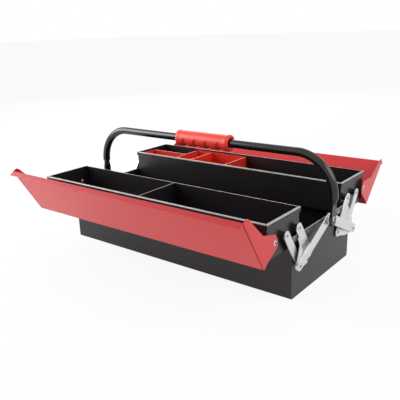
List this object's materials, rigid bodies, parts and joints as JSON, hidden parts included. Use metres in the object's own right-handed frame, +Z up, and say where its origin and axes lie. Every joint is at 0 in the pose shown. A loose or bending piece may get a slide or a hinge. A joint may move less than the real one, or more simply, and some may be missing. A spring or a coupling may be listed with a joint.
{
  "type": "cantilever toolbox",
  "caption": "Folded-steel toolbox with two linked trays that swing apart, a hinged half lid on each tray and a carrying handle that drives the links.",
  "frame": {"origin": "middle of the lower box's underside, on the surface it stands on", "axes": "+X along the box to its right end, -Y towards the front, +Z up; rest pose with both trays and both lids open"},
  "size_m": [0.493, 0.4561, 0.203],
  "materials": {
    "black_steel": "satin powder coat",
    "red_steel": "satin powder coat",
    "zinc": "bright zinc plate",
    "black_gloss": "gloss enamel",
    "spacer": "moulded, matt",
    "organiser": "moulded, satin",
    "grip": "moulded, satin"
  },
  "bodies": {
    "box": {"box_shell": "black_steel", "box_end_left": "black_steel", "box_end_right": "black_steel", "box_rivets_left": "zinc", "box_rivets_right": "zinc"},
    "front_tray": {"front_tray": "black_steel", "front_tray_end_left": "black_steel", "front_tray_end_right": "black_steel", "front_divider": "black_steel", "front_tray_rivets_left": "zinc", "front_tray_rivets_right": "zinc", "front_tray_spacers_left": "spacer", "front_tray_spacers_right": "spacer"},
    "rear_tray": {"rear_tray": "black_steel", "rear_tray_end_left": "black_steel", "rear_tray_end_right": "black_steel", "rear_insert": "organiser", "rear_tray_rivets_left": "zinc", "rear_tray_rivets_right": "zinc", "rear_tray_spacers_left": "spacer", "rear_tray_spacers_right": "spacer"},
    "front_lid": {"front_lid": "red_steel"},
    "rear_lid": {"rear_lid": "red_steel"},
    "front_links": {"front_link_left": "zinc", "front_link_right": "zinc"},
    "rear_links": {"rear_link_left": "zinc", "rear_link_right": "zinc"},
    "front_cranks": {"front_crank_left": "zinc", "front_crank_right": "zinc", "front_arm_rivet_left": "zinc", "front_arm_rivet_right": "zinc"},
    "rear_cranks": {"rear_crank_left": "zinc", "rear_crank_right": "zinc", "rear_arm_rivet_left": "zinc", "rear_arm_rivet_right": "zinc"},
    "front_drives": {"front_drive_left": "zinc", "front_drive_right": "zinc"},
    "rear_drives": {"rear_drive_left": "zinc", "rear_drive_right": "zinc"},
    "handle": {"handle_tube": "black_gloss", "handle_grip": "grip", "handle_rivet_left": "zinc", "handle_rivet_right": "zinc"}
  },
  "joints": [
    {"name": "front_crank_turn", "type": "hinge", "parent": "box", "child": "front_cranks", "pos_m": [0, -0.04825, 0.057], "axis": [-1, 0, 0], "range_deg": [0, 69.17]},
    {"name": "rear_crank_turn", "type": "hinge", "parent": "box", "child": "rear_cranks", "pos_m": [0, 0.04825, 0.057], "axis": [1, 0, 0], "range_deg": [0, 69.17]},
    {"name": "front_link_turn", "type": "hinge", "parent": "box", "child": "front_links", "pos_m": [0, -0.08225, 0.057], "axis": [-1, 0, 0], "range_deg": [0, 69.17]},
    {"name": "rear_link_turn", "type": "hinge", "parent": "box", "child": "rear_links", "pos_m": [0, 0.08225, 0.057], "axis": [1, 0, 0], "range_deg": [0, 69.17]},
    {"name": "front_tray_level", "type": "hinge", "parent": "front_cranks", "child": "front_tray", "pos_m": [0, -0.081, 0.1045], "axis": [1, 0, 0], "range_deg": [0, 69.17]},
    {"name": "rear_tray_level", "type": "hinge", "parent": "rear_cranks", "child": "rear_tray", "pos_m": [0, 0.081, 0.1045], "axis": [-1, 0, 0], "range_deg": [0, 69.17]},
    {"name": "front_drive_turn", "type": "hinge", "parent": "front_cranks", "child": "front_drives", "pos_m": [0, -0.08825, 0.0525], "axis": [1, 0, 0], "range_deg": [0, 90.28]},
    {"name": "rear_drive_turn", "type": "hinge", "parent": "rear_cranks", "child": "rear_drives", "pos_m": [0, 0.08825, 0.0525], "axis": [-1, 0, 0], "range_deg": [0, 90.28]},
    {"name": "handle_lift", "type": "slide", "parent": "box", "child": "handle", "axis": [0, 0, 1], "range_m": [0, 0.06915]},
    {"name": "front_lid_hinge", "type": "hinge", "parent": "front_tray", "child": "front_lid", "pos_m": [0, -0.1455, 0.1045], "axis": [-1, 0, 0], "range_deg": [0, 121]},
    {"name": "rear_lid_hinge", "type": "hinge", "parent": "rear_tray", "child": "rear_lid", "pos_m": [0, 0.1455, 0.1045], "axis": [1, 0, 0], "range_deg": [0, 135.5]}
  ],
  "couplings": [
    {"joint": "rear_crank_turn", "follows": "front_crank_turn", "ratio": 1},
    {"joint": "front_link_turn", "follows": "front_crank_turn", "ratio": 1},
    {"joint": "rear_link_turn", "follows": "front_crank_turn", "ratio": 1},
    {"joint": "front_tray_level", "follows": "front_crank_turn", "ratio": 1},
    {"joint": "rear_tray_level", "follows": "front_crank_turn", "ratio": 1},
    {"joint": "front_drive_turn", "follows": "front_crank_turn", "ratio": 1.305},
    {"joint": "rear_drive_turn", "follows": "front_crank_turn", "ratio": 1.305},
    {"joint": "handle_lift", "follows": "front_crank_turn", "m_per_rad": 0.057265}
  ]
}
